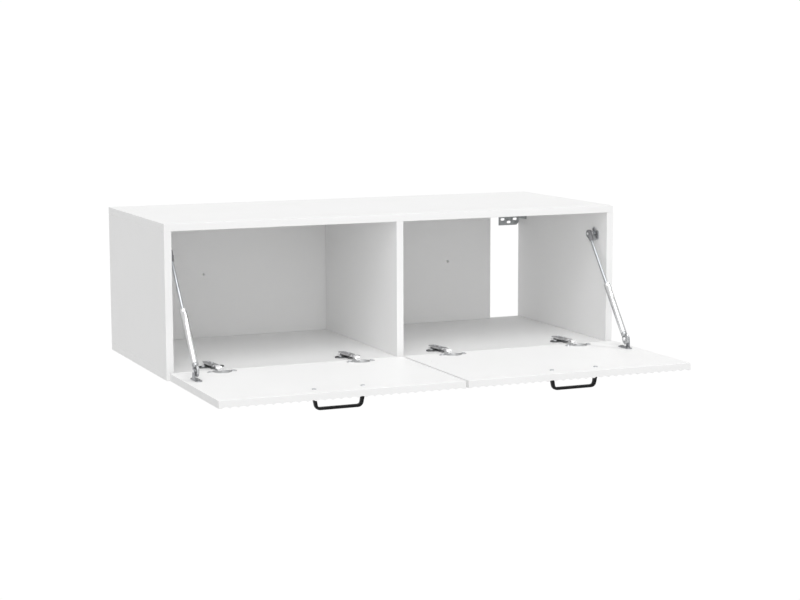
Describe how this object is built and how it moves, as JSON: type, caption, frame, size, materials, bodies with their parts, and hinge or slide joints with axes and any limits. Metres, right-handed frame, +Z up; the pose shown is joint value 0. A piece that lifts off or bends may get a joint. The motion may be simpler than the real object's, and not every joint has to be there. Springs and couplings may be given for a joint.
{
  "type": "floating media console",
  "caption": "Wall-hung white media console with open compartments, rear cable gaps, and fluted drop-down doors on concealed hinges and telescoping struts.",
  "frame": {"origin": "on the wall plane, at mid width and mid height of the cabinet", "axes": "+X to the right seen from the front, +Y into the wall, +Z up"},
  "size_m": [1, 0.744, 0.3325],
  "materials": {
    "white_board": "white satin laminate",
    "dowel_wood": "raw beech",
    "nickel_steel": "bright nickel plate",
    "screw_steel": "zinc plate",
    "polished_steel": "polished",
    "bracket_steel": "zinc plate",
    "dark_steel": "dark zinc plate",
    "black_metal": "black satin",
    "black_plastic": "moulded",
    "grey_plastic": "moulded"
  },
  "bodies": {
    "carcass": {"top_panel": "white_board", "bottom_panel": "white_board", "side_panel_left": "white_board", "side_panel_right": "white_board", "centre_divider": "white_board", "back_panel_left": "white_board", "back_panel_right": "white_board", "dowels": "dowel_wood", "hinge_mounting_plates": "nickel_steel", "hinge_arms": "nickel_steel", "hinge_plate_screws": "screw_steel", "hinge_adjusting_screws": "screw_steel", "wall_bracket_screws": "screw_steel", "side_bracket_screws": "screw_steel", "wall_bracket_left": "dark_steel", "strut_side_bracket_left": "bracket_steel", "wall_bracket_right": "dark_steel", "strut_side_bracket_right": "bracket_steel"},
    "door_left": {"door_left": "white_board", "handle_left": "black_metal", "handle_screws_left": "screw_steel", "hinge_cups_left": "nickel_steel", "hinge_cup_screws_left": "screw_steel", "strut_door_bracket_left": "bracket_steel", "strut_door_screws_left": "screw_steel"},
    "hinge_links_left": {"hinge_links_left": "nickel_steel"},
    "strut_tube_left": {"strut_tube_left": "polished_steel", "strut_lower_fitting_left": "grey_plastic"},
    "strut_rod_left": {"strut_rod_left": "polished_steel", "strut_upper_fitting_left": "black_plastic", "strut_upper_pin_left": "screw_steel"},
    "door_right": {"door_right": "white_board", "handle_right": "black_metal", "handle_screws_right": "screw_steel", "hinge_cups_right": "nickel_steel", "hinge_cup_screws_right": "screw_steel", "strut_door_bracket_right": "bracket_steel", "strut_door_screws_right": "screw_steel"},
    "hinge_links_right": {"hinge_links_right": "nickel_steel"},
    "strut_tube_right": {"strut_tube_right": "polished_steel", "strut_lower_fitting_right": "grey_plastic"},
    "strut_rod_right": {"strut_rod_right": "polished_steel", "strut_upper_fitting_right": "black_plastic", "strut_upper_pin_right": "screw_steel"}
  },
  "joints": [
    {"name": "door_left_fold", "type": "hinge", "parent": "carcass", "child": "door_left", "pos_m": [-0.25025, -0.437, -0.153], "axis": [-1, 0, 0], "range_deg": [0, 90]},
    {"name": "hinge_links_left_fold", "type": "hinge", "parent": "carcass", "child": "hinge_links_left", "pos_m": [-0.25025, -0.4275, -0.134], "axis": [-1, 0, 0], "range_deg": [0, 98.65]},
    {"name": "strut_left_swing", "type": "hinge", "parent": "door_left", "child": "strut_tube_left", "pos_m": [-0.472, -0.52836, -0.1185], "axis": [1, 0, 0], "range_deg": [0, 114.33]},
    {"name": "strut_left_slide", "type": "slide", "parent": "strut_tube_left", "child": "strut_rod_left", "axis": [0, -0.6156, -0.7881], "range_m": [0, 0.10854]},
    {"name": "door_right_fold", "type": "hinge", "parent": "carcass", "child": "door_right", "pos_m": [0.25025, -0.437, -0.153], "axis": [-1, 0, 0], "range_deg": [0, 90]},
    {"name": "hinge_links_right_fold", "type": "hinge", "parent": "carcass", "child": "hinge_links_right", "pos_m": [0.25025, -0.4275, -0.134], "axis": [-1, 0, 0], "range_deg": [0, 98.65]},
    {"name": "strut_right_swing", "type": "hinge", "parent": "door_right", "child": "strut_tube_right", "pos_m": [0.472, -0.52836, -0.1185], "axis": [1, 0, 0], "range_deg": [0, 114.33]},
    {"name": "strut_right_slide", "type": "slide", "parent": "strut_tube_right", "child": "strut_rod_right", "axis": [0, -0.6156, -0.7881], "range_m": [0, 0.10854]}
  ],
  "couplings": [
    {"joint": "hinge_links_left_fold", "follows": "door_left_fold", "ratio": 1.0955},
    {"joint": "strut_left_swing", "follows": "door_left_fold", "ratio": 1.2698},
    {"joint": "strut_left_slide", "follows": "door_left_fold", "m_per_rad": 0.069064},
    {"joint": "hinge_links_right_fold", "follows": "door_right_fold", "ratio": 1.0955},
    {"joint": "strut_right_swing", "follows": "door_right_fold", "ratio": 1.2698},
    {"joint": "strut_right_slide", "follows": "door_right_fold", "m_per_rad": 0.069064}
  ]
}
